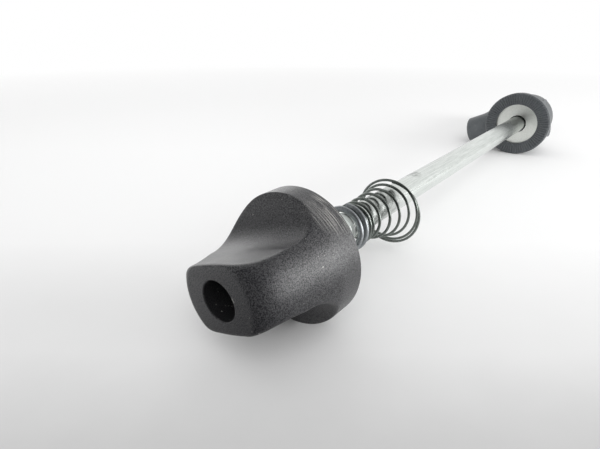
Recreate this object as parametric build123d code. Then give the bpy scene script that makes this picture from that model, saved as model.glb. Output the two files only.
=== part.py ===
from build123d import *
from math import asin, atan, atan2, cos, degrees, hypot, pi, radians, sin
import os

# Front-wheel quick release skewer, in millimetres, lying on a table.
# X runs along the rod from the nut to the lever, Z is up.
# The origin is on the rod's axis, at the back edge of the nut's rim.

# Rod
rod_diameter = 5.0
rod_tip_depth = 8.7  # how far the threaded tip reaches into the nut
rod_tip_chamfer = 0.5
clamp_gap = 114.0  # from the nut's rim to the housing's clamp face
thread_clearance = 0.06

# Nut body: a cone with a cylindrical rim and two finger scoops
nut_rim_diameter = 19.9
nut_length = 16.3
nut_end_flat_diameter = 10.8
nut_end_diameter = 14.3  # of the corner that the rounded end is drawn from
nut_end_blend = 4.5  # length of the rounded end along the flank
nut_rim_width = 4.6
nut_rim_blend = 5.0
nut_rim_edge = 0.4
nut_hole_diameter = 5.5
nut_hole_chamfer = 0.35
nut_grip_roll = -21.3  # turn of the grip about the rod, in degrees
scoop_waist = 4.0  # from the axis to the thinnest place of the grip
scoop_waist_place = 9.6  # from the rim's back edge to that place
scoop_heel_radius = 5.9  # tight curve, towards the rim
scoop_flare_radius = 34.0  # long curve, towards the end

# Threaded steel insert with the serrated clamp face, pressed into the nut
insert_flange_diameter = 17.6
insert_flange_seat = 2.2  # depth of the flange's seat in the nut
insert_barrel_diameter = 7.8
insert_barrel_end = 7.0  # depth of the end of the bush in the nut
insert_recess_diameter = 13.6  # holds the spring's large end
insert_recess_depth = 1.2
insert_tooth_count = 24
tooth_height = 0.35  # of both clamp faces
groove_width = 1.0
press_clearance = 0.01

# Conical springs, both pushed to the nut's end of the rod
spring_gap = 0.15  # free space above the rod and at the nut
spring_end_gap = 0.4  # between the two small ends
spring_sections_per_turn = 12
nut_spring_wire = 1.0
nut_spring_small_radius = 3.6
nut_spring_shoulder_radius = 5.5
nut_spring_large_radius = 5.7
nut_spring_closed_pitch = 1.3
nut_spring_small_turns = 1.6
nut_spring_active_turns = 2.5
nut_spring_large_turns = 0.8
nut_spring_length = 11.85
nut_spring_start_angle = 100.0
lever_spring_wire = 0.5
lever_spring_small_radius = 3.45
lever_spring_shoulder_radius = 4.85
lever_spring_large_radius = 6.1
lever_spring_closed_pitch = 1.43
lever_spring_small_turns = 2.0
lever_spring_active_turns = 3.25
lever_spring_large_turns = 2.16
lever_spring_length = 13.7
lever_spring_start_angle = -58.0
lever_spring_droop = 2.1  # how far its large end hangs below its small end

# Cam housing
housing_diameter = nut_rim_diameter  # both rims carry the skewer on the table
flange_thickness = 2.4
flange_taper = 1.2
flange_edge = 0.4
barrel_diameter = 16.2
housing_length = 17.2
housing_end_bevel = 2.4
cam_place = 8.5  # from the clamp face to the cam shaft's axis
boss_diameter = 12.4
boss_near_end = 9.0  # from the rod's axis, on the lever's side
boss_far_end = 7.4
clamp_recess_diameter = 12.8
clamp_recess_depth = 2.0
housing_tooth_count = 24

# Guide washer in the recess
guide_thickness = 1.0
guide_clearance = 0.3

# Cam shaft, stepped so that it goes in from the lever's side
throw = 1.0  # eccentricity: the rod is drawn by twice this in half a turn
near_journal_diameter = 9.6
eccentric_diameter = 6.8
far_journal_diameter = 4.6
journal_clearance = 0.05
spigot_across_flats = 6.4
spigot_length = 5.2
shaft_end_chamfer = 0.3

# Rod's eye
eye_thickness = 5.0
eye_wall = 1.7
eye_side_clearance = 0.4
eye_end_clearance = 0.4

# Retaining clip on the far journal
clip_thickness = 0.5
clip_diameter = 7.2
clip_groove_depth = 0.4
clip_opening = 2.6
clip_gap = 0.1
clip_pocket_diameter = 8.4
clip_pocket_depth = 1.6

# Lever and its washer
lever_washer_thickness = 0.6
lever_washer_gap = 0.05
hub_root_diameter = 11.2
hub_end_diameter = 8.8
hub_end = 17.9  # from the rod's axis to the hub's outer end
hub_end_bevel = 0.4
lever_length = 54.0  # from the cam axis to the tip
lever_root_width = 8.4
lever_width = 10.4
lever_root_thickness = 6.0
lever_thickness = 4.2
lever_root_height = 13.6  # from the rod's axis to the arm's middle
lever_tip_height = 10.4
lever_edge = 1.4
lever_bow = 0.7  # the arm bows outwards by this at its middle

# Worked out from the sizes above
rod_radius = rod_diameter / 2
rest_height = nut_rim_diameter / 2
cam_x = clamp_gap + cam_place
cam_offset = -throw / 2  # the cam axis lies this far off the rod's axis
hub_root = boss_near_end + lever_washer_thickness + 2 * lever_washer_gap
hub_taper = atan((hub_root_diameter - hub_end_diameter) / 2 / (hub_end - hub_root))
linear_error = 0.2106 * throw  # largest gap between a sine and a straight ramp
eye_hole_radius = eccentric_diameter / 2 + linear_error + journal_clearance
eye_radius = eye_hole_radius + eye_wall
pocket_radius = eye_radius + eye_end_clearance
pocket_half_width = eye_thickness / 2 + eye_side_clearance


def rest_roll():
    """Roll about the rod at which the hub's end touches the table, in degrees."""
    along = hub_end - hub_end_bevel * cos(hub_taper)
    below = hub_end_diameter / 2 + hub_end_bevel * sin(hub_taper) - cam_offset
    return degrees(asin(rest_height / hypot(along, below)) - atan2(below, along))


def along_x(radius, start, end):
    """Cylinder about the rod's axis from start to end."""
    return Plane.YZ.offset(start) * extrude(Circle(radius), end - start)


def along_cam(radius, start, end, lift=0.0):
    """Cylinder about the cam axis, in the head's own frame, from start to end."""
    axis_plane = Plane(origin=(cam_x, start, cam_offset + lift), x_dir=(1, 0, 0), z_dir=(0, 1, 0))
    return axis_plane * extrude(Circle(radius), end - start)


def corner_at(profile, x, y):
    """Corner of a flat profile that lies nearest to a place."""
    return profile.vertices().sort_by_distance((x, y, 0))[0]


def radial_grooves(count, face_x, outer_radius, facing):
    """V grooves that leave flat-topped teeth on a clamp face."""
    mouth = face_x + facing * tooth_height
    outline = Polyline(
        (face_x - facing * tooth_height, 0),
        (mouth, groove_width),
        (mouth, -groove_width),
        close=True,
    )
    groove = extrude(Plane.XY * make_face(outline), outer_radius)
    turns = [Rot(X=360 * (index + 0.5) / count) for index in range(count)]
    return [turn * groove for turn in turns]


def nut_body():
    """Flared grip: a revolved body with a scoop on each side and the insert's seat."""
    rim_radius = nut_rim_diameter / 2
    end_radius = nut_end_diameter / 2
    flat_end = (-nut_length, nut_end_flat_diameter / 2)
    flank_run = nut_length - nut_rim_width
    flank_rise = (rim_radius - end_radius) / flank_run
    flank_start = (nut_end_blend - nut_length, end_radius + nut_end_blend * flank_rise)
    outline = [
        Bezier(flat_end, (-nut_length, end_radius), flank_start),
        Polyline(flank_start, (-nut_rim_width, rim_radius), (0, rim_radius), (0, 0), (-nut_length, 0), flat_end),
    ]
    profile = make_face(outline)
    profile = fillet(corner_at(profile, -nut_rim_width, rim_radius), nut_rim_blend)
    profile = chamfer(corner_at(profile, 0, rim_radius), nut_rim_edge)
    body = revolve(profile, Axis.X)

    margin = 1.0
    far = -nut_length - margin
    waist_x = -scoop_waist_place
    flare_run = waist_x - far
    flare_centre = scoop_waist + scoop_flare_radius
    flare_end = flare_centre - (scoop_flare_radius**2 - flare_run**2) ** 0.5
    half_run = flare_run / 2
    flare_middle = flare_centre - (scoop_flare_radius**2 - half_run**2) ** 0.5
    heel_x = waist_x + scoop_heel_radius
    heel_y = scoop_waist + scoop_heel_radius
    heel_mid = scoop_heel_radius * cos(radians(45))
    top = rim_radius + scoop_heel_radius
    edge = [
        ThreePointArc((far, flare_end), (waist_x - half_run, flare_middle), (waist_x, scoop_waist)),
        ThreePointArc((waist_x, scoop_waist), (waist_x + heel_mid, heel_y - heel_mid), (heel_x, heel_y)),
        Polyline((heel_x, heel_y), (heel_x, top), (far, top), (far, flare_end)),
    ]
    cutter = extrude(Plane.XZ * make_face(edge), nut_rim_diameter, both=True)
    body -= [cutter, mirror(cutter, Plane.XY)]

    hole = along_x(nut_hole_diameter / 2, -nut_length, 0)
    barrel_seat = along_x(insert_barrel_diameter / 2 + press_clearance, -insert_barrel_end, 0)
    flange_seat = along_x(insert_flange_diameter / 2 + press_clearance, -insert_flange_seat, 0)
    body -= [hole, barrel_seat, flange_seat]
    mouth = body.edges().filter_by(GeomType.CIRCLE).group_by(Axis.X)[0].sort_by(SortBy.RADIUS)[0]
    body = chamfer(mouth, nut_hole_chamfer)
    return Rot(X=nut_grip_roll) * body


def nut_insert():
    """Threaded bush with a flange whose teeth bite the fork end."""
    flange = along_x(insert_flange_diameter / 2, -insert_flange_seat, tooth_height)
    barrel = along_x(insert_barrel_diameter / 2, -insert_barrel_end, -insert_flange_seat)
    recess = along_x(insert_recess_diameter / 2, tooth_height - insert_recess_depth, tooth_height)
    bore = along_x(rod_radius + thread_clearance, -insert_barrel_end, tooth_height)
    teeth = radial_grooves(insert_tooth_count, tooth_height, insert_flange_diameter, 1)
    return flange + barrel - [recess, bore] - teeth


def between(turn, stops):
    """Straight-line value at a turn, from (turn, value) stops."""
    for (start, low), (end, high) in zip(stops, stops[1:]):
        if turn <= end:
            return low + (high - low) * (turn - start) / (end - start)
    return stops[-1][1]


def squared(wire):
    """Side of the square that has a round wire's section."""
    return wire * pi**0.5 / 2


def conical_spring(wire, places, radii, drops, small_x, side, start_angle):
    """Spring that hangs on the rod, wound from its small end, in wire squared to the same section.

    side is 1 where its large end faces the lever and -1 where it faces the nut.
    """
    turns = places[-1][0]
    count = round(turns * spring_sections_per_turn)
    points = []
    outwards = []
    for index in range(count + 1):
        turn = turns * index / count
        angle = radians(start_angle + side * 360 * turn)
        outward = Vector(0, -cos(angle), sin(angle))
        place = Vector(small_x + side * between(turn, places), 0, -between(turn, drops))
        points.append(place + outward * between(turn, radii))
        outwards.append(outward)
    sections = []
    for index, point in enumerate(points):
        ahead = points[min(index + 1, count)]
        behind = points[max(index - 1, 0)]
        plane = Plane(origin=point, x_dir=outwards[index], z_dir=ahead - behind)
        sections.append(plane * Rectangle(squared(wire), squared(wire)))
    return loft(sections, ruled=True)


def hanging_drop(radius, wire):
    """How far a coil hangs below the rod's axis when it rests on the rod."""
    return radius - wire / 2 - rod_radius - spring_gap


nut_spring_seat = tooth_height - insert_recess_depth + spring_gap + nut_spring_wire / 2
nut_spring_end = nut_spring_seat + nut_spring_length


def nut_spring():
    """Spring on the nut's side: its large end sits in the recess of the clamp face."""
    small = nut_spring_small_turns
    shoulder = small + nut_spring_active_turns
    total = shoulder + nut_spring_large_turns
    small_run = small * nut_spring_closed_pitch
    large_run = nut_spring_large_turns * nut_spring_wire
    places = [(0, 0), (small, small_run), (shoulder, nut_spring_length - large_run), (total, nut_spring_length)]
    radii = [(0, nut_spring_small_radius), (small, nut_spring_small_radius),
             (shoulder, nut_spring_shoulder_radius), (total, nut_spring_large_radius)]
    drop = hanging_drop(nut_spring_small_radius, nut_spring_wire)
    drops = [(0, drop), (total, drop)]
    return conical_spring(nut_spring_wire, places, radii, drops, nut_spring_end, -1, nut_spring_start_angle)


def lever_spring():
    """Spring on the lever's side: its open large end faces the lever."""
    small = lever_spring_small_turns
    shoulder = small + lever_spring_active_turns
    closing = shoulder + lever_spring_large_turns / 2
    total = shoulder + lever_spring_large_turns
    small_run = small * lever_spring_closed_pitch
    end_run = lever_spring_large_turns / 2 * lever_spring_wire
    shoulder_run = lever_spring_length - 3 * end_run
    places = [(0, 0), (small, small_run), (shoulder, shoulder_run),
              (closing, lever_spring_length - end_run), (total, lever_spring_length)]
    radii = [(0, lever_spring_small_radius), (small, lever_spring_small_radius),
             (shoulder, lever_spring_shoulder_radius), (closing, lever_spring_large_radius),
             (total, lever_spring_large_radius)]
    drop = hanging_drop(lever_spring_small_radius, lever_spring_wire)
    drops = [(0, drop), (small, drop), (total, drop + lever_spring_droop)]
    start = nut_spring_end + nut_spring_wire / 2 + spring_end_gap + lever_spring_wire / 2
    return conical_spring(lever_spring_wire, places, radii, drops, start, 1, lever_spring_start_angle)


def slot_about_cam(radius, half_width):
    """Slot across the rod, one throw long, in the head's own frame."""
    slot = None
    for lift in (-throw / 2, throw / 2):
        end = along_cam(radius, -half_width, half_width, lift - cam_offset)
        slot = end if slot is None else slot + end
    bridge = Pos(cam_x, 0, 0) * Box(2 * radius, 2 * half_width, throw)
    return slot + bridge


def skewer_rod():
    """Rod with a chamfered tip and a forged eye, slotted across for the cam's sideways sweep."""
    shank = along_x(rod_radius, -rod_tip_depth, cam_x)
    tip = shank.edges().group_by(Axis.X)[0]
    shank = chamfer(tip, rod_tip_chamfer)
    eye = slot_about_cam(eye_radius, eye_thickness / 2)
    hole = slot_about_cam(eye_hole_radius, eye_thickness)
    return Rot(X=-rest_roll()) * (shank + eye - hole)


def cam_housing():
    """Round housing: clamp flange, barrel with a bevelled end and a cross boss for the cam shaft."""
    radius = housing_diameter / 2
    barrel_radius = barrel_diameter / 2
    back = clamp_gap + housing_length
    outline = Polyline(
        (clamp_gap, 0),
        (clamp_gap, radius),
        (clamp_gap + flange_thickness, radius),
        (clamp_gap + flange_thickness + flange_taper, barrel_radius),
        (back, barrel_radius),
        (back, 0),
        close=True,
    )
    profile = make_face(outline)
    profile = chamfer(corner_at(profile, clamp_gap, radius), flange_edge)
    profile = chamfer(corner_at(profile, back, barrel_radius), housing_end_bevel)
    body = revolve(profile, Axis.X)
    boss = along_cam(boss_diameter / 2, -boss_far_end, boss_near_end)
    body += boss

    recess = along_x(clamp_recess_diameter / 2, clamp_gap, clamp_gap + clamp_recess_depth)
    pocket_end = Pos(X=throw) * slot_about_cam(pocket_radius, pocket_half_width)
    pocket_run = cam_place + throw - clamp_recess_depth
    pocket_middle = clamp_gap + clamp_recess_depth + pocket_run / 2
    pocket_height = 2 * pocket_radius + throw
    pocket = Pos(pocket_middle, 0, 0) * Box(pocket_run, 2 * pocket_half_width, pocket_height)
    near_bore = along_cam(near_journal_diameter / 2 + journal_clearance, 0, boss_near_end)
    far_bore = along_cam(far_journal_diameter / 2 + journal_clearance, -boss_far_end, 0)
    clip_pocket = along_cam(clip_pocket_diameter / 2, -boss_far_end, clip_pocket_depth - boss_far_end)
    body -= [recess, pocket_end, pocket, near_bore, far_bore, clip_pocket]
    grooves = radial_grooves(housing_tooth_count, clamp_gap, housing_diameter, -1)
    return Rot(X=-rest_roll()) * (body - grooves)


def guide_washer():
    """Zinc washer on the recess's floor, which guides the rod and closes the cam's pocket."""
    floor = clamp_gap + clamp_recess_depth
    outer = along_x(clamp_recess_diameter / 2 - press_clearance, floor - guide_thickness, floor)
    hole = along_x(rod_radius + guide_clearance, floor - guide_thickness, floor)
    return outer - hole


def cam_shaft():
    """Stepped shaft: journal, eccentric, small journal with the clip's groove, and a square spigot."""
    near = along_cam(near_journal_diameter / 2, pocket_half_width, hub_root)
    eccentric = along_cam(eccentric_diameter / 2, -pocket_half_width, pocket_half_width, throw)
    far_end = clip_pocket_depth - boss_far_end - clip_gap - 2 * clip_thickness
    far = along_cam(far_journal_diameter / 2, far_end, -pocket_half_width)
    far = chamfer(far.edges().group_by(Axis.Y)[0], shaft_end_chamfer)
    clip_start, clip_end = clip_span()
    groove_floor = far_journal_diameter / 2 - clip_groove_depth
    groove = along_cam(far_journal_diameter, clip_start, clip_end) - along_cam(groove_floor, clip_start, clip_end)
    spigot_middle = hub_root + spigot_length / 2
    spigot = Pos(cam_x, spigot_middle, cam_offset) * Box(spigot_across_flats, spigot_length, spigot_across_flats)
    return Rot(X=-rest_roll()) * (near + eccentric + far + spigot - groove)


def clip_span():
    """Start and end of the clip along the cam axis."""
    end = clip_pocket_depth - boss_far_end - clip_gap
    return end - clip_thickness, end


def shaft_clip():
    """Open retaining ring in the far journal's groove."""
    start, end = clip_span()
    groove_floor = far_journal_diameter / 2 - clip_groove_depth
    ring = along_cam(clip_diameter / 2, start, end) - along_cam(groove_floor + press_clearance, start, end)
    mouth = Pos(cam_x, (start + end) / 2, cam_offset + clip_diameter / 2)
    ring -= mouth * Box(clip_opening, 2 * clip_thickness, clip_diameter)
    return Rot(X=-rest_roll()) * ring


def lever_washer():
    """Nylon washer between the housing's boss and the lever's hub."""
    start = boss_near_end + lever_washer_gap
    end = start + lever_washer_thickness
    hole = along_cam(near_journal_diameter / 2 + journal_clearance, start, end)
    return Rot(X=-rest_roll()) * (along_cam(hub_root_diameter / 2, start, end) - hole)


def arm_section(reach, height, thickness, width):
    """Bevelled section of the lever's arm, reach millimetres from the cam axis."""
    plane = Plane(origin=(cam_x + reach, height, cam_offset), x_dir=(0, 1, 0), z_dir=(1, 0, 0))
    section = Rectangle(thickness, width)
    return plane * chamfer(section.vertices(), lever_edge)


def lever():
    """Tapered hub with a square socket, and a long arm that leans in over the rod's line."""
    hub_line = Polyline(
        (hub_root, 0),
        (hub_root, hub_root_diameter / 2),
        (hub_end, hub_end_diameter / 2),
        (hub_end, 0),
        close=True,
    )
    profile = make_face(hub_line)
    profile = chamfer(corner_at(profile, hub_end, hub_end_diameter / 2), hub_end_bevel)
    hub = Pos(cam_x, 0, cam_offset) * Rot(Z=90) * revolve(profile, Axis.X)

    middle_height = (lever_root_height + lever_tip_height) / 2 + lever_bow
    sections = [
        arm_section(0, lever_root_height, lever_root_thickness, lever_root_width),
        arm_section(lever_length / 2, middle_height, lever_thickness, lever_width),
        arm_section(lever_length, lever_tip_height, lever_thickness, lever_width),
    ]
    straight = lever_length - lever_width / 2
    plan = Pos(straight / 2, 0) * Rectangle(straight, 2 * lever_width) + Pos(straight, 0) * Circle(lever_width / 2)
    outline = Plane(origin=(cam_x, 0, cam_offset), x_dir=(1, 0, 0), z_dir=(0, -1, 0)) * plan
    arm = loft(sections) & extrude(outline, -2 * hub_end)

    socket_depth = spigot_length + press_clearance
    socket_size = spigot_across_flats + 2 * press_clearance
    socket = Pos(cam_x, hub_root + socket_depth / 2, cam_offset) * Box(socket_size, socket_depth, socket_size)
    return Rot(X=-rest_roll()) * (hub + arm - socket)


pieces = {
    "nut_body": nut_body,
    "nut_insert": nut_insert,
    "nut_spring": nut_spring,
    "lever_spring": lever_spring,
    "skewer_rod": skewer_rod,
    "cam_housing": cam_housing,
    "guide_washer": guide_washer,
    "cam_shaft": cam_shaft,
    "shaft_clip": shaft_clip,
    "lever_washer": lever_washer,
    "lever": lever,
}

os.makedirs("parts", exist_ok=True)
for name, make in pieces.items():
    export_step(make(), f"parts/{name}.step")
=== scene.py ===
import math

import bmesh
import bpy
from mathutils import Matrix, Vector


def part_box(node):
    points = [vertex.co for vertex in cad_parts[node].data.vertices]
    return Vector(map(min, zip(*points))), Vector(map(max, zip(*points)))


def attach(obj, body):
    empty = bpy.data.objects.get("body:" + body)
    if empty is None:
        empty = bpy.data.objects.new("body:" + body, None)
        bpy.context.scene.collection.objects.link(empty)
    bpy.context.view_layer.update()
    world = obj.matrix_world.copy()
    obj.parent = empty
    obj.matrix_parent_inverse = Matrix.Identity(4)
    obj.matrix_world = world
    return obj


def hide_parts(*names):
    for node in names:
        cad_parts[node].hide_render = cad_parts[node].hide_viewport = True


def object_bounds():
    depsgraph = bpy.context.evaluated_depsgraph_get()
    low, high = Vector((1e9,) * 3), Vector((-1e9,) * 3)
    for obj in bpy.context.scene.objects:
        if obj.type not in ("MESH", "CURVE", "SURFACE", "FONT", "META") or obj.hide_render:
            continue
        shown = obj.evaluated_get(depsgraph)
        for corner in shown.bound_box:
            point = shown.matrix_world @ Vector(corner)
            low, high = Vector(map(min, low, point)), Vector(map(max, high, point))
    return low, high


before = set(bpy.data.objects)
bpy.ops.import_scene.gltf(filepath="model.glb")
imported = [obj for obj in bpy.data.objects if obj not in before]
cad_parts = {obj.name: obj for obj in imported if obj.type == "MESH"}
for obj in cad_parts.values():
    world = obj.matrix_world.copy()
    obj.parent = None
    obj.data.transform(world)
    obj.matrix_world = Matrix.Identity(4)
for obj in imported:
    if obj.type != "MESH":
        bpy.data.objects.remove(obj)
cad_low, cad_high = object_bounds()

# Lengths are in millimetres, apart from those of the frame and the studio, which are in metres
MM = 0.001
TURN = 2 * math.pi

# Sizes that the pieces share with the solids
rod_radius = 2.5
spring_gap = 0.15
press_clearance = 0.01
nut_low, nut_high = (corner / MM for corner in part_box("nut_body"))
rim_radius = nut_high.z

# Copies of solids
weld_distance = 0.001
copied_sharp_angle = 30.0


def riding_piece(name, mesh, body, sharp_angle):
    """Object that rides on a body and is shaded smooth up to an angle."""
    mesh.shade_smooth()
    mesh.set_sharp_from_angle(angle=math.radians(sharp_angle))
    piece = bpy.data.objects.new(name, mesh)
    bpy.context.scene.collection.objects.link(piece)
    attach(piece, body)
    return piece


def mesh_piece(name, points, faces, body, sharp_angle):
    """Piece made of points in millimetres and the faces between them."""
    mesh = bpy.data.meshes.new(name)
    mesh.from_pydata([Vector(point) * MM for point in points], [], faces)
    mesh.validate()
    return riding_piece(name, mesh, body, sharp_angle)


def solid_beyond(node, name, place, body):
    """Piece that copies a solid's mesh past a place along the rod."""
    copy = bmesh.new()
    copy.from_mesh(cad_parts[node].data)
    bmesh.ops.remove_doubles(copy, verts=copy.verts[:], dist=weld_distance * MM)
    everything = copy.verts[:] + copy.edges[:] + copy.faces[:]
    bmesh.ops.bisect_plane(copy, geom=everything, plane_co=(place * MM, 0, 0), plane_no=(1, 0, 0),
                           clear_inner=True)
    mesh = bpy.data.meshes.new(name)
    copy.to_mesh(mesh)
    copy.free()
    return riding_piece(name, mesh, body, copied_sharp_angle)


def ring_faces(rows, columns, close_rows):
    """Quads between neighbouring rings of points, joined end to end where close_rows is set."""
    faces = []
    last = rows if close_rows else rows - 1
    for row in range(last):
        following = (row + 1) % rows
        for column in range(columns):
            beside = (column + 1) % columns
            faces.append((row * columns + column, following * columns + column,
                          following * columns + beside, row * columns + beside))
    return faces


def about_rod(x, radius, angle):
    """Point at a place along the rod, a radius out from its axis and an angle round it."""
    return (x, radius * math.cos(angle), radius * math.sin(angle))


def between(turn, stops):
    """Straight-line value at a turn, from (turn, value) stops."""
    for (start, low), (end, high) in zip(stops, stops[1:]):
        if turn <= end:
            return low + (high - low) * (turn - start) / (end - start)
    return stops[-1][1]


def steps(start, end, count):
    """Evenly spaced values after start, up to and with end."""
    return [start + (end - start) * (index + 1) / count for index in range(count)]


# Nut

nut_end_overhang = 0.2
nut_end = nut_low.x - nut_end_overhang
nut_end_flat_radius = 5.5
nut_end_radius = 7.3
nut_end_blend = 4.5
nut_rim_width = 4.6
nut_rim_blend = 5.0
nut_rim_edge = 0.4
nut_hole_radius = 2.75
nut_hole_chamfer = 0.12
nut_grip_roll = -21.3
nut_sharp_angle = 40.0
scoop_waist = 4.0
scoop_waist_place = 9.6
scoop_heel_radius = 5.9
scoop_flare_radius = 27.0
end_crown = 0.014
crease_softness = 0.2
end_softness = 1.0
insert_flange_radius = 8.8
insert_barrel_radius = 3.9
insert_seat_radius = insert_flange_radius + press_clearance
insert_seat_depth = 2.2
insert_bore_radius = insert_barrel_radius + press_clearance
insert_bore_end = 7.0

# Rows and columns of the nut's mesh; past fan_place its rows fan out from one point on the axis
end_rows = 18
end_blend_rows = 40
flank_rows = 52
rim_blend_rows = 10
rim_rows = 24
nut_columns = 420
fan_place = -10.5
least_grip_share = 0.2
grip_halvings = 18


def rounded_corner(before, corner, after, radius, count):
    """Points of the arc that rounds a corner of a flat outline."""
    before, corner, after = Vector(before), Vector(corner), Vector(after)
    back = (before - corner).normalized()
    ahead = (after - corner).normalized()
    half = back.angle(ahead) / 2
    reach = radius / math.tan(half)
    centre = corner + (back + ahead).normalized() * radius / math.sin(half)
    first = corner + back * reach - centre
    last = corner + ahead * reach - centre
    sweep = first.angle(last)
    points = []
    for index in range(count + 1):
        share = index / count
        blend = first * math.sin((1 - share) * sweep) + last * math.sin(share * sweep)
        points.append(tuple(centre + blend / math.sin(sweep)))
    return points


def bowed_corner(start, corner, end, share):
    """Place on the parabola that leaves start and reaches end along the corner's two sides."""
    start, corner, end = Vector(start), Vector(corner), Vector(end)
    return tuple(start.lerp(corner, share).lerp(corner.lerp(end, share), share))


def nut_outline():
    """Closed outline of the nut, turned about the rod: end face, flank, rim, back and bores."""
    hole_edge = nut_hole_radius + nut_hole_chamfer
    rise = (rim_radius - nut_end_radius) / (-nut_rim_width - nut_end)
    flat = (nut_end, nut_end_flat_radius)
    corner = (nut_end, nut_end_radius)
    flank = (nut_end + nut_end_blend, nut_end_radius + nut_end_blend * rise)
    shoulder = (-nut_rim_width, rim_radius)
    blend = rounded_corner(corner, shoulder, (0, rim_radius), nut_rim_blend, rim_blend_rows)
    outline = [(nut_end, radius) for radius in steps(hole_edge, nut_end_flat_radius, end_rows)]
    outline += [bowed_corner(flat, corner, flank, share) for share in steps(0, 1, end_blend_rows)]
    outline += [tuple(Vector(flank).lerp(Vector(blend[0]), share)) for share in steps(0, 1, flank_rows)]
    outline += blend[1:]
    outline += [(x, rim_radius) for x in steps(blend[-1][0], -nut_rim_edge, rim_rows)]
    outline += [(0, rim_radius - nut_rim_edge), (0, insert_seat_radius)]
    outline += [(-insert_seat_depth, insert_seat_radius), (-insert_seat_depth, insert_bore_radius)]
    outline += [(-insert_bore_end, insert_bore_radius), (-insert_bore_end, nut_hole_radius)]
    outline += [(nut_end + nut_hole_chamfer, nut_hole_radius), (nut_end, hole_edge)]
    return outline


def inside_scoop(x, side):
    """How far a place lies inside the cutter of a scoop, which is two arcs that meet at the waist."""
    ahead = x + scoop_waist_place
    radius = scoop_heel_radius if ahead > 0 else scoop_flare_radius
    return radius - math.hypot(ahead, min(side - scoop_waist - radius, 0))


def soft_most(first, second, softness):
    """The greater of two lengths, rounded off where they cross."""
    share = min(max(0.5 + 0.5 * (first - second) / softness, 0), 1)
    return second + (first - second) * share + softness * share * (1 - share)


def grip_share(place, ahead, angle):
    """Share of the way out to a place of the outline at which the scooped grip ends."""
    x, radius = place
    start = max(x, fan_place)
    outward = Vector((place[1] - ahead[1], ahead[0] - place[0])).normalized()
    towards_end = min(max((fan_place - x) / (fan_place - nut_end), 0), 1)
    softness = crease_softness + (end_softness - crease_softness) * towards_end
    low, high = least_grip_share, 1.0
    for halving in range(grip_halvings):
        share = (low + high) / 2
        at = (start + (x - start) * share, radius * share)
        past = (at[0] - x) * outward.x + (at[1] - radius) * outward.y
        crown = end_crown * towards_end * (at[1] * math.cos(angle)) ** 2
        cut = inside_scoop(at[0], at[1] * math.sin(angle) + crown)
        if soft_most(past, cut, softness) > 0:
            high = share
        else:
            low = share
    return high


def nut_shell():
    """Grip nut: the turned outline, cut back by the scoops on both sides with softened creases."""
    outline = nut_outline()
    outer_rows = next(index for index, point in enumerate(outline) if point[0] == 0)
    quarter = nut_columns // 4
    angles = [TURN * column / nut_columns for column in range(quarter + 1)]
    points = []
    for index, (x, radius) in enumerate(outline):
        shares = [1.0] * (quarter + 1)
        if index < outer_rows:
            shares = [grip_share((x, radius), outline[index + 1], angle) for angle in angles]
        start = max(x, fan_place)
        for column in range(nut_columns):
            folded = column % (2 * quarter)
            share = shares[min(folded, 2 * quarter - folded)]
            turned = TURN * column / nut_columns + math.radians(nut_grip_roll)
            points.append(about_rod(start + (x - start) * share, radius * share, turned))
    faces = ring_faces(len(outline), nut_columns, close_rows=True)
    piece = mesh_piece("nut_shell", points, faces, "nut", nut_sharp_angle)
    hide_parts("nut_body")
    return piece


# Springs

wire_sides = 14
wire_sharp_angle = 35.0
points_per_turn = 48
tooth_height = 0.35
insert_recess_depth = 1.2
nut_spring_wire = 1.0
nut_spring_small_radius = 3.6
nut_spring_open_radius = 3.9
nut_spring_shoulder_radius = 5.5
nut_spring_large_radius = 5.7
nut_spring_closed_pitch = 1.55
nut_spring_small_turns = 1.25
nut_spring_open_turns = 1.05
nut_spring_active_turns = 1.8
nut_spring_large_turns = 0.8
nut_spring_open_run = 7.6
nut_spring_length = 12.15
nut_spring_start_angle = 100.0
nut_spring_seat = tooth_height - insert_recess_depth + spring_gap
nut_spring_end = nut_spring_seat + nut_spring_wire / 2 + nut_spring_length
spring_end_gap = 0.5
lever_spring_wire = 0.5
lever_spring_small_radius = 3.45
lever_spring_shoulder_radius = 4.85
lever_spring_large_radius = 6.1
lever_spring_closed_pitch = 0.62
lever_spring_closed_turns = 1.0
lever_spring_small_turns = 2.0
lever_spring_active_turns = 3.25
lever_spring_large_turns = 2.16
lever_spring_small_run = 2.46
lever_spring_length = 13.3
lever_spring_start_angle = -58.0
lever_spring_droop = 2.1


def hanging_drop(radius, wire):
    """How far a coil hangs below the rod's axis when it rests on the rod."""
    return radius - wire / 2 - rod_radius - spring_gap


def wire_coil(name, wire, places, radii, drops, small_x, side, start_angle):
    """Round wire wound from the small end of a conical spring, with ends cut square."""
    turns = places[-1][0]
    count = round(turns * points_per_turn)
    centres = []
    for index in range(count + 1):
        turn = turns * index / count
        angle = math.radians(start_angle + side * 360 * turn)
        radius = between(turn, radii)
        x = small_x + side * between(turn, places)
        y = -radius * math.cos(angle)
        z = radius * math.sin(angle) - between(turn, drops)
        centres.append(Vector((x, y, z)))
    points = []
    for index, centre in enumerate(centres):
        ahead = (centres[min(index + 1, count)] - centres[max(index - 1, 0)]).normalized()
        across = ahead.cross(Vector((1, 0, 0))).normalized()
        upward = across.cross(ahead)
        for corner in range(wire_sides):
            angle = TURN * corner / wire_sides
            points.append(centre + (across * math.cos(angle) + upward * math.sin(angle)) * wire / 2)
    faces = ring_faces(count + 1, wire_sides, close_rows=False)
    faces.append(tuple(range(wire_sides)))
    faces.append(tuple(reversed(range(count * wire_sides, (count + 1) * wire_sides))))
    return mesh_piece(name, points, faces, "springs", wire_sharp_angle)


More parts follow.
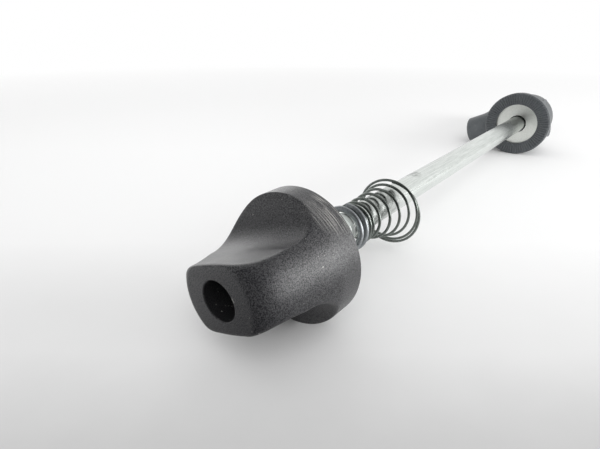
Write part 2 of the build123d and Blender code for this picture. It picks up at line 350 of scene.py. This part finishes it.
def nut_coil():
    """Spring on the nut's side: its large end sits in the recess of the clamp face."""
    small = nut_spring_small_turns
    opened = small + nut_spring_open_turns
    shoulder = opened + nut_spring_active_turns
    total = shoulder + nut_spring_large_turns
    small_run = small * nut_spring_closed_pitch
    large_run = nut_spring_large_turns * nut_spring_wire
    places = [(0, 0), (small, small_run), (opened, small_run + nut_spring_open_run),
              (shoulder, nut_spring_length - large_run), (total, nut_spring_length)]
    radii = [(0, nut_spring_small_radius), (small, nut_spring_small_radius),
             (opened, nut_spring_open_radius), (shoulder, nut_spring_shoulder_radius),
             (total, nut_spring_large_radius)]
    drop = hanging_drop(nut_spring_small_radius, nut_spring_wire)
    drops = [(0, drop), (total, drop)]
    piece = wire_coil("nut_coil", nut_spring_wire, places, radii, drops, nut_spring_end, -1,
                      nut_spring_start_angle)
    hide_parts("nut_spring")
    return piece


def lever_coil():
    """Spring on the lever's side: its open large end faces the lever."""
    closed = lever_spring_closed_turns
    small = lever_spring_small_turns
    half_large = lever_spring_large_turns / 2
    shoulder = small + lever_spring_active_turns
    closing = shoulder + half_large
    total = shoulder + lever_spring_large_turns
    touching_run = half_large * lever_spring_wire
    closing_run = 2 * touching_run
    places = [(0, 0), (closed, closed * lever_spring_closed_pitch), (small, lever_spring_small_run),
              (shoulder, lever_spring_length - touching_run - closing_run),
              (closing, lever_spring_length - touching_run), (total, lever_spring_length)]
    radii = [(0, lever_spring_small_radius), (small, lever_spring_small_radius),
             (shoulder, lever_spring_shoulder_radius), (closing, lever_spring_large_radius),
             (total, lever_spring_large_radius)]
    drop = hanging_drop(lever_spring_small_radius, lever_spring_wire)
    drops = [(0, drop), (small, drop), (total, drop + lever_spring_droop)]
    start = nut_spring_end + nut_spring_wire / 2 + spring_end_gap + lever_spring_wire / 2
    piece = wire_coil("lever_coil", lever_spring_wire, places, radii, drops, start, 1,
                      lever_spring_start_angle)
    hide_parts("lever_spring")
    return piece


# Rod

rod_tip = -8.7
rod_tip_chamfer = 0.5
rod_columns = 72
rod_sharp_angle = 50.0
thread_pitch = 0.8
thread_depth = 0.2
thread_end = 10.4
thread_runout = 2 * thread_pitch
thread_rows_per_pitch = 10
plain_rod_start = thread_end + 1.0
plain_rod_end = 117.5

# Shares of half a pitch from the middle of the thread's groove to its edge, and of the flank's width
groove_edge = 0.55
groove_flank = 0.5


def thread_cut(x, turn):
    """Depth of the thread's groove, which fades out at the end of the thread."""
    along = (x / thread_pitch - turn) % 1
    from_root = abs(along - 0.5) * 2
    groove = min(max((groove_edge - from_root) / groove_flank, 0), 1)
    fade = min(max((thread_end - x) / thread_runout, 0), 1)
    return thread_depth * groove * fade


def threaded_rod():
    """Rod whose rolled thread ends under the nut's spring; its eye is the solid's own, in the housing."""
    rows = round((thread_end - rod_tip) / thread_pitch * thread_rows_per_pitch)
    places = [rod_tip] + steps(rod_tip, thread_end, rows) + [plain_rod_start, plain_rod_end]
    points = []
    for x in places:
        bevel = max(rod_tip_chamfer - (x - rod_tip), 0)
        for column in range(rod_columns):
            turn = column / rod_columns
            reach = min(rod_radius - thread_cut(x, turn), rod_radius - bevel)
            points.append(about_rod(x, reach, TURN * turn))
    faces = ring_faces(len(places), rod_columns, close_rows=False)
    faces.append(tuple(range(rod_columns)))
    piece = mesh_piece("threaded_rod", points, faces, "rod", rod_sharp_angle)
    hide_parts("skewer_rod")
    return piece, solid_beyond("skewer_rod", "rod_eye", plain_rod_end, "rod")


# Housing

ring_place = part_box("cam_housing")[0].x / MM
ring_inner = 6.4
ring_edge = 0.4
ring_depth = 0.6
ring_sharp_angle = 20.0
ring_teeth = 72
ring_tooth_depth = 0.2
tooth_profile = (0, 0, 0, 0.5, 1, 0.5)


def toothed_housing():
    """Housing of the solid with a finely toothed clamp ring in front of it."""
    back = ring_place + ring_depth
    columns = ring_teeth * len(tooth_profile)
    crests = [ring_place + ring_tooth_depth * share for share in tooth_profile] * ring_teeth
    rows = [[(back, ring_inner)] * columns,
            [(crest, ring_inner) for crest in crests],
            [(crest, rim_radius - ring_edge) for crest in crests],
            [(ring_place + ring_edge, rim_radius)] * columns,
            [(back, rim_radius)] * columns]
    points = []
    for row in rows:
        for column, (x, radius) in enumerate(row):
            points.append(about_rod(x, radius, TURN * column / columns))
    faces = ring_faces(len(rows), columns, close_rows=True)
    ring = mesh_piece("clamp_ring", points, faces, "housing", ring_sharp_angle)
    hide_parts("cam_housing")
    return ring, solid_beyond("cam_housing", "housing_barrel", back, "housing")


# Node trees; most values of a noise lie between its low and its high

noise_low = 0.3
noise_high = 0.7


class Nodes:
    """A node tree, with short calls for the nodes that materials and the world share."""

    def __init__(self, tree):
        self.tree = tree

    def node(self, kind, **values):
        """New node with its settings."""
        made = self.tree.nodes.new(kind)
        for key, value in values.items():
            setattr(made, key, value)
        return made

    def link(self, source, target):
        """Link from one socket to another."""
        self.tree.links.new(source, target)

    def feed(self, socket, value):
        """Links a socket to another one, or sets it to a number or a colour."""
        if isinstance(value, bpy.types.NodeSocket):
            self.link(value, socket)
        elif isinstance(value, (int, float)):
            socket.default_value = value
        else:
            socket.default_value = (*value, 1)

    def combine(self, operation, first, second):
        """Result of an operation on two values, each a socket or a number."""
        made = self.node("ShaderNodeMath", operation=operation)
        for socket, value in zip(made.inputs, (first, second)):
            self.feed(socket, value)
        return made.outputs["Value"]

    def plus(self, first, second):
        """Sum of two values."""
        return self.combine("ADD", first, second)

    def times(self, first, second):
        """Product of two values."""
        return self.combine("MULTIPLY", first, second)

    def measure(self, operation, place, other=None):
        """Length of a place, or its distance from or dot product with another one."""
        made = self.node("ShaderNodeVectorMath", operation=operation)
        self.link(place, made.inputs[0])
        if other is not None:
            made.inputs[1].default_value = other
        return made.outputs["Value"]

    def eased(self, factor, start, end):
        """Value that eases from a (factor, value) start to a (factor, value) end."""
        made = self.node("ShaderNodeMapRange", interpolation_type="SMOOTHSTEP")
        self.link(factor, made.inputs["Value"])
        for name, value in zip(("From Min", "To Min", "From Max", "To Max"), (*start, *end)):
            made.inputs[name].default_value = value
        return made.outputs["Result"]

    def mix_shaders(self, factor, first, second):
        """Mix of two shaders."""
        made = self.node("ShaderNodeMixShader")
        for socket, source in zip(made.inputs, (factor, first, second)):
            self.link(source, socket)
        return made.outputs["Shader"]


class Recipe(Nodes):
    """A node material around one Principled shader."""

    def __init__(self, name):
        self.material = bpy.data.materials.new(name)
        self.material.use_nodes = True
        super().__init__(self.material.node_tree)
        self.shader = self.tree.nodes["Principled BSDF"]
        self.place = self.node("ShaderNodeTexCoord").outputs["Object"]

    def stretched(self, scale):
        """Object coordinates scaled by a factor on each axis."""
        mapping = self.node("ShaderNodeMapping")
        mapping.inputs["Scale"].default_value = scale
        self.link(self.place, mapping.inputs["Vector"])
        return mapping.outputs["Vector"]

    def noise(self, size, detail, roughness=0.5, stretch=(1, 1, 1)):
        """Noise whose features are about size millimetres across."""
        texture = self.node("ShaderNodeTexNoise")
        texture.inputs["Scale"].default_value = 1 / (size * MM)
        texture.inputs["Detail"].default_value = detail
        texture.inputs["Roughness"].default_value = roughness
        self.link(self.stretched(stretch), texture.inputs["Vector"])
        return texture.outputs["Fac"]

    def ramp(self, factor, *stops):
        """Colour ramp through (position, colour) stops; a number stands for a grey."""
        made = self.node("ShaderNodeValToRGB")
        elements = made.color_ramp.elements
        while len(elements) < len(stops):
            elements.new(1.0)
        for element, (position, colour) in zip(elements, stops):
            element.position = position
            grey = isinstance(colour, (int, float))
            element.color = (colour, colour, colour, 1) if grey else (*colour, 1)
        self.link(factor, made.inputs["Fac"])
        return made.outputs["Color"]

    def spread(self, noise, low, high):
        """Ramp between two colours or numbers over most of a noise's values."""
        return self.ramp(noise, (noise_low, low), (noise_high, high))

    def mix(self, factor, first, second):
        """Mix of two colours, each a socket or a colour."""
        made = self.node("ShaderNodeMix", data_type="RGBA")
        self.link(factor, made.inputs["Factor"])
        self.feed(made.inputs["A"], first)
        self.feed(made.inputs["B"], second)
        return made.outputs["Result"]

    def along_rod(self):
        """Place along the rod, in metres."""
        made = self.node("ShaderNodeSeparateXYZ")
        self.link(self.place, made.inputs["Vector"])
        return made.outputs["X"]

    def near(self, place, full, none):
        """One within full millimetres of a place, falling to nothing at none."""
        away = self.measure("DISTANCE", self.place, Vector(place) * MM)
        return self.eased(away, (full * MM, 1.0), (none * MM, 0.0))

    def bump(self, height, depth, strength):
        """Bump of about depth millimetres."""
        made = self.node("ShaderNodeBump")
        made.inputs["Strength"].default_value = strength
        made.inputs["Distance"].default_value = depth * MM
        self.link(height, made.inputs["Height"])
        return made.outputs["Normal"]

    def surface(self, **values):
        """Sets the shader's sockets, from sockets or constants, by their names with underscores."""
        for key, value in values.items():
            name = key.replace("_", " ").title().replace("Ior", "IOR")
            self.feed(self.shader.inputs[name], value)
        return self.material


# Materials

coat_cloud_size = 3.5
coat_roughness_swing = 0.06
coat_dust = (0.42, 0.42, 0.41)
coat_dust_cover = 0.4
dust_size = 0.3

nut_grain = 0.16
nut_cloud_size = 3.0
nut_dark = (0.002, 0.002, 0.004)
nut_light = (0.042, 0.042, 0.045)
nut_dust = (0.42, 0.42, 0.4)
nut_dust_cover = 0.6
nut_dust_patch = 4.5
nut_least_roughness = 0.18
nut_cloud_roughness = 0.1
nut_grain_roughness = 0.25
# Painted shade in the nut's bore: a flat near-black in place of the grainy coat
painted_bore_shade = (0.012, 0.012, 0.013)
bore_shade_reach = 4.0

# Marks on the nut, with each spot's place and reach: two nicks, and a painted glint at the bore's edge
bare_edge_and_glint = (0.38, 0.37, 0.35)
rim_scuff = (-1.4, -5.5, 8.3)
scuff_full = 1.6
scuff_none = 4.4
scuff_width = 0.09
scuff_stretch = (1, 0.02, 0.02)
scuff_cover = 0.8
rim_nick = ((-0.1, -0.2, 9.95), 0.5)
flank_nick = ((-7.2, -8.5, 3.7), 0.2)
# A painted glint on the bore's edge, drawn in the pale grey of the bare edges
painted_bore_glint = ((-16.45, -2.5, 1.25), 0.45)
spot_core = 0.3

# Steel, with the place, full reach and end of each dark patch on the rod: the first is a painted shadow
# of the springs, the second a grease smudge
streak_stretch = (0.05, 1, 1)
streak_share = 0.8
mottle_share = 0.2
mottle_size = 1.6
steel_roughness_swing = 0.02
smudge_and_shadow_grey = (0.2, 0.21, 0.2)
smudge_and_shadow_cover = 0.7
smudge_and_shadow_patch = 0.9
# The first patch is painted shadow of the springs on the rod, the second a grease smudge
rod_shadow_and_smudge = (((20.0, 0.6, 2.4), 4.0, 9.0), ((36.2, 0.9, 2.3), 1.0, 2.6))
dull_metallic = 0.3
dull_fade = 0.94


def black_coat(name, dark, light, roughness, grain):
    """Matte black coat with a fine grain, paler worn clouds and a little dust."""
    recipe = Recipe(name)
    speckle = recipe.noise(grain, detail=2, roughness=0.7)
    cloud = recipe.noise(coat_cloud_size, detail=3)
    worn = recipe.ramp(cloud, (0.45, 0), (0.7, 0.5))
    dust = recipe.ramp(recipe.noise(dust_size, detail=0), (0.8, 0), (0.83, 1))
    base = recipe.ramp(speckle, (0.36, dark), (0.66, light))
    base = recipe.mix(worn, base, light)
    base = recipe.mix(recipe.times(dust, coat_dust_cover), base, coat_dust)
    smooth, rough = roughness - coat_roughness_swing, roughness + coat_roughness_swing
    patchy = recipe.spread(cloud, smooth, rough)
    normal = recipe.bump(speckle, depth=0.02, strength=0.6)
    return recipe.surface(base_color=base, roughness=patchy, normal=normal)


def housing_coat():
    """Coat of the housing and its clamp ring."""
    return black_coat("housing_coat", dark=(0.05, 0.055, 0.06), light=(0.11, 0.119, 0.126),
                      roughness=0.45, grain=0.2)


def lever_coat():
    """Coat of the lever, a little smoother."""
    return black_coat("lever_coat", dark=(0.06, 0.067, 0.072), light=(0.125, 0.136, 0.144),
                      roughness=0.42, grain=0.2)


def nut_marks(recipe, base, speckle):
    """The nut's base colour with turned scuffs on its rim, small nicks, and a painted glint at the bore's
    edge.
    """
    rings = recipe.noise(scuff_width, detail=2, stretch=scuff_stretch)
    rings = recipe.ramp(rings, (0.52, 0), (0.6, 1))
    scuffed = recipe.times(rings, recipe.near(rim_scuff, scuff_full, scuff_none))
    base = recipe.mix(recipe.times(scuffed, scuff_cover), base, bare_edge_and_glint)
    ragged = recipe.ramp(speckle, (0.45, 0), (0.52, 1))
    # Two nicks, and a painted glint at the bore's edge
    for place, reach in (rim_nick, flank_nick, painted_bore_glint):
        spot = recipe.times(recipe.near(place, reach * spot_core, reach), ragged)
        base = recipe.mix(spot, base, bare_edge_and_glint)
    return base


def nut_coat():
    """The nut's coat: grainy, with painted shade in the bore, scuffs, nicks, a painted glint at the
    bore's edge and patches of dust.
    """
    recipe = Recipe("nut_coat")
    speckle = recipe.noise(nut_grain, detail=3, roughness=0.8)
    cloud = recipe.noise(nut_cloud_size, detail=3)
    from_axis = recipe.measure("LENGTH", recipe.stretched((0, 1, 1)))
    in_bore = recipe.ramp(recipe.times(from_axis, 1 / (bore_shade_reach * MM)), (0.69, 1), (0.71, 0))
    base = recipe.ramp(speckle, (0.4, nut_dark), (0.6, nut_light))
    # Painted shade: the bore's coat turns flat near-black
    base = recipe.mix(in_bore, base, painted_bore_shade)
    base = nut_marks(recipe, base, speckle)
    gathered = recipe.ramp(recipe.noise(nut_dust_patch, detail=1), (0.5, 0), (0.6, 1))
    gathered = recipe.combine("MAXIMUM", gathered, in_bore)
    dust = recipe.ramp(recipe.noise(dust_size, detail=1), (0.74, 0), (0.77, 1))
    dust = recipe.times(dust, gathered)
    base = recipe.mix(recipe.times(dust, nut_dust_cover), base, nut_dust)
    patchy = recipe.times(cloud, nut_cloud_roughness)
    patchy = recipe.plus(patchy, recipe.times(speckle, nut_grain_roughness))
    rough = recipe.plus(patchy, nut_least_roughness)
    gloss = recipe.ramp(speckle, (0.4, 0.36), (0.6, 0.95))
    normal = recipe.bump(speckle, depth=0.04, strength=0.8)
    return recipe.surface(base_color=base, roughness=rough, specular_ior_level=gloss, normal=normal)


def plated_steel(name, dark, light, roughness, streak, dark_patches=(), dull_end=None):
    """Plated or drawn steel, streaked along the rod, with dark patches of painted shadow and grease, and
    a length that is dull.
    """
    recipe = Recipe(name)
    streaks = recipe.noise(streak, detail=3, stretch=streak_stretch)
    mottle = recipe.noise(mottle_size, detail=3)
    tone = recipe.plus(recipe.times(streaks, streak_share), recipe.times(mottle, mottle_share))
    base = recipe.spread(tone, dark, light)
    patchy = recipe.ramp(recipe.noise(smudge_and_shadow_patch, detail=3), (0.4, 0.35), (0.6, 1))
    # Painted shadow and grease smudges darken the steel here
    for place, full, none in dark_patches:
        darkened = recipe.times(recipe.near(place, full, none), patchy)
        base = recipe.mix(recipe.times(darkened, smudge_and_shadow_cover), base, smudge_and_shadow_grey)
    smooth, rough = roughness - steel_roughness_swing, roughness + steel_roughness_swing
    worn = recipe.spread(mottle, smooth, rough)
    normal = recipe.bump(streaks, depth=0.004, strength=0.3)
    metal = 1.0
    if dull_end:
        along = recipe.times(recipe.along_rod(), 1 / (dull_end * MM))
        metal = recipe.ramp(along, (dull_fade, dull_metallic), (1.0, 1))
    return recipe.surface(base_color=base, roughness=worn, metallic=metal, normal=normal)


def zinc_rod():
    """Bright plate of the rod, with a painted shadow of the springs, a grease smudge and a dull thread.
    """
    return plated_steel("zinc_rod", dark=(0.6, 0.635, 0.61), light=(0.76, 0.79, 0.765),
                        roughness=0.24, streak=0.3, dark_patches=rod_shadow_and_smudge, dull_end=thread_end)


def spring_wire():
    """Satin wire of the nut's spring."""
    return plated_steel("spring_wire", dark=(0.2, 0.212, 0.222), light=(0.36, 0.38, 0.39),
                        roughness=0.42, streak=0.25)


def thin_wire():
    """Dark wire of the lever's spring."""
    return plated_steel("thin_wire", dark=(0.13, 0.145, 0.135), light=(0.22, 0.24, 0.225),
                        roughness=0.28, streak=0.2)


def zinc_washer():
    """Pale plate of the guide washer."""
    return plated_steel("zinc_washer", dark=(0.66, 0.68, 0.64), light=(0.82, 0.83, 0.8),
                        roughness=0.36, streak=0.3)


def bush_steel():
    """Plate of the nut's bush."""
    return plated_steel("bush_steel", dark=(0.42, 0.44, 0.44), light=(0.66, 0.68, 0.67),
                        roughness=0.36, streak=0.3)


def shaft_steel():
    """Ground steel of the cam shaft."""
    return plated_steel("shaft_steel", dark=(0.42, 0.42, 0.43), light=(0.62, 0.62, 0.63),
                        roughness=0.3, streak=0.2)


def clip_steel():
    """Blackened steel of the retaining ring."""
    return plated_steel("clip_steel", dark=(0.1, 0.1, 0.105), light=(0.2, 0.2, 0.21),
                        roughness=0.4, streak=0.2)


def nylon():
    """Dull moulded nylon."""
    recipe = Recipe("nylon")
    grain = recipe.noise(0.3, detail=3)
    base = recipe.spread(grain, (0.05, 0.05, 0.052), (0.09, 0.09, 0.092))
    normal = recipe.bump(grain, depth=0.02, strength=0.3)
    return recipe.surface(base_color=base, roughness=0.55, normal=normal)


def dress(pieces, material):
    """Gives pieces one material in place of any that they have."""
    for piece in pieces:
        piece.data.materials.clear()
        piece.data.materials.append(material)


def dress_all():
    """Builds the pieces and gives them, and the solids that still show, their materials."""
    dress([nut_shell()], nut_coat())
    dress([nut_coil()], spring_wire())
    dress([lever_coil()], thin_wire())
    dress(threaded_rod(), zinc_rod())
    dress(toothed_housing(), housing_coat())
    solids = {"guide_washer": zinc_washer, "nut_insert": bush_steel, "cam_shaft": shaft_steel,
              "shaft_clip": clip_steel, "lever_washer": nylon, "lever": lever_coat}
    for node, material in solids.items():
        dress([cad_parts[node]], material())


# Studio: lengths in metres, apart from the floor's mottle and the photographer's shade

floor_reach = 4.0
floor_height = cad_low.z
floor_roughness = 0.7
floor_mottle_size = 9.0
floor_mottle = 0.02

# Greys of the floor by (share, grey), where the shares run along the camera's heading; the darker greys
# near the camera are painted shade of the camera
tone_length = 0.2
tone_start = 0.28
floor_tones_with_painted_shade = ((0.165, 0.55), (0.24, 0.75), (0.4, 0.91), (0.75, 0.965))

# To the camera the floor turns white between two shares of this distance
white_reach = 0.5
white_stops = ((0.4, 0), (0.9, 1))

# Shade on the floor round the photographer, which only reflections see
photographer_foot = (-46, -20)
photographer_full = 24
photographer_none = 50
photographer_grey = (0.05, 0.05, 0.05)

# The tent's light, and its brightness in reflections by (cosine from a direction, brightness)
tent_light = 0.8
white_to_camera = 1.0
upward = Vector((0, 0, 1))
towards_camera = Vector((-0.76, -0.61, 0.22)).normalized()
towards_left = Vector((-0.17, 0.88, 0.42)).normalized()
towards_back = Vector((0.46, 0.88, 0.1)).normalized()
tent_foot = ((0.0, 0.85), (0.25, 1.0))
tent_top = ((0.6, 1.0), (0.95, 0.4))
camera_flag = ((0.1, 1.0), (0.8, 0.03))
left_flag = ((0.75, 1.0), (0.97, 0.35))
back_glow = ((0.89, 0.0), (0.985, 1.8))

# The photograph's view, with angles in degrees and the lens in millimetres
camera_place = Vector((-43.63, -34.36, 29.92)) * MM
camera_heading = 38.83
camera_pitch = -24.82
camera_lens = 25.8
camera_sensor = 36.0


def floor_tone(recipe, reflected):
    """Grey of the floor, with painted shade that darkens it near the camera, and the photographer's shade
    where it is reflected.
    """
    heading = math.radians(camera_heading)
    ahead = (math.cos(heading) / tone_length, math.sin(heading) / tone_length, 0)
    run = recipe.plus(recipe.measure("DOT_PRODUCT", recipe.place, ahead), tone_start)
    mottle = recipe.times(recipe.noise(floor_mottle_size, detail=4), floor_mottle)
    # Painted shade: the floor's grey darkens towards the camera
    tone = recipe.ramp(recipe.plus(run, mottle), *floor_tones_with_painted_shade)
    foot = (*photographer_foot, floor_height / MM)
    shade = recipe.near(foot, photographer_full, photographer_none)
    return recipe.mix(recipe.times(shade, reflected), tone, photographer_grey)


def pale_floor():
    """Pale table top that runs out to white for the camera."""
    low, high = -floor_reach, floor_reach
    corners = [(x, y, floor_height) for x, y in ((low, low), (high, low), (high, high), (low, high))]
    mesh = bpy.data.meshes.new("table_top")
    mesh.from_pydata(corners, [], [(0, 1, 2, 3)])
    piece = bpy.data.objects.new("table_top", mesh)
    bpy.context.scene.collection.objects.link(piece)
    recipe = Recipe("pale_table")
    rays = recipe.node("ShaderNodeLightPath").outputs
    recipe.surface(base_color=floor_tone(recipe, rays["Is Glossy Ray"]), roughness=floor_roughness)
    far = recipe.times(recipe.measure("LENGTH", recipe.place), 1 / white_reach)
    whitened = recipe.times(recipe.ramp(far, *white_stops), rays["Is Camera Ray"])
    white = recipe.node("ShaderNodeEmission").outputs["Emission"]
    shown = recipe.mix_shaders(whitened, recipe.shader.outputs["BSDF"], white)
    recipe.link(shown, recipe.tree.nodes["Material Output"].inputs["Surface"])
    mesh.materials.append(recipe.material)


def studio_world():
    """White tent that is plain to the camera; reflections also see its top, flags and bright back."""
    world = bpy.data.worlds.new("tent")
    bpy.context.scene.world = world
    world.use_nodes = True
    tent = Nodes(world.node_tree)
    tent.tree.nodes.clear()
    place = tent.node("ShaderNodeTexCoord").outputs["Generated"]
    rays = tent.node("ShaderNodeLightPath").outputs

    def facing(direction, stops):
        """Brightness by how far a place on the tent lies in a direction."""
        return tent.eased(tent.measure("DOT_PRODUCT", place, direction), *stops)

    def background(strength):
        """White background of a strength, which is a socket or a number."""
        made = tent.node("ShaderNodeBackground")
        made.inputs["Color"].default_value = (1, 1, 1, 1)
        tent.feed(made.inputs["Strength"], strength)
        return made.outputs["Background"]

    walls = tent.times(facing(upward, tent_foot), facing(upward, tent_top))
    flags = tent.times(facing(towards_camera, camera_flag), facing(towards_left, left_flag))
    reflected = tent.plus(tent.times(walls, flags), facing(towards_back, back_glow))
    lit = tent.mix_shaders(rays["Is Glossy Ray"], background(tent_light), background(reflected))
    seen = tent.mix_shaders(rays["Is Camera Ray"], lit, background(white_to_camera))
    tent.link(seen, tent.node("ShaderNodeOutputWorld").inputs["Surface"])


def softbox(name, place, aim, width, height, power, mirrored):
    """Area lamp that points at a place, and shows in reflections where mirrored is set."""
    lamp = bpy.data.lights.new(name, "AREA")
    lamp.shape = "RECTANGLE"
    lamp.size = width
    lamp.size_y = height
    lamp.energy = power
    holder = bpy.data.objects.new(name, lamp)
    holder.location = place
    holder.visible_glossy = mirrored
    holder.rotation_euler = (Vector(aim) - Vector(place)).to_track_quat("-Z", "Y").to_euler()
    bpy.context.scene.collection.objects.link(holder)


def studio_lamps():
    """Soft fill from above the camera, and a low panel at the right that the nut's flank reflects."""
    softbox("front_fill", place=(-0.3, -0.26, 0.45), aim=(0.03, 0, 0), width=0.4, height=0.4,
            power=1.0, mirrored=False)
    softbox("side_panel", place=(0.235, -0.43, 0.09), aim=(0, 0, 0.01), width=0.33, height=0.2,
            power=1.7, mirrored=True)


def photo_camera():
    """Camera at the photograph's place, with its lens."""
    lens = bpy.data.cameras.new("photo_camera")
    lens.lens = camera_lens
    lens.sensor_width = camera_sensor
    lens.clip_start = MM
    lens.clip_end = 4 * floor_reach
    camera = bpy.data.objects.new("photo_camera", lens)
    camera.location = camera_place
    camera.rotation_euler = (math.radians(90 + camera_pitch), 0, math.radians(camera_heading - 90))
    bpy.context.scene.collection.objects.link(camera)
    bpy.context.scene.camera = camera


dress_all()
pale_floor()
studio_world()
studio_lamps()
photo_camera()
bpy.context.scene.view_settings.view_transform = "Standard"
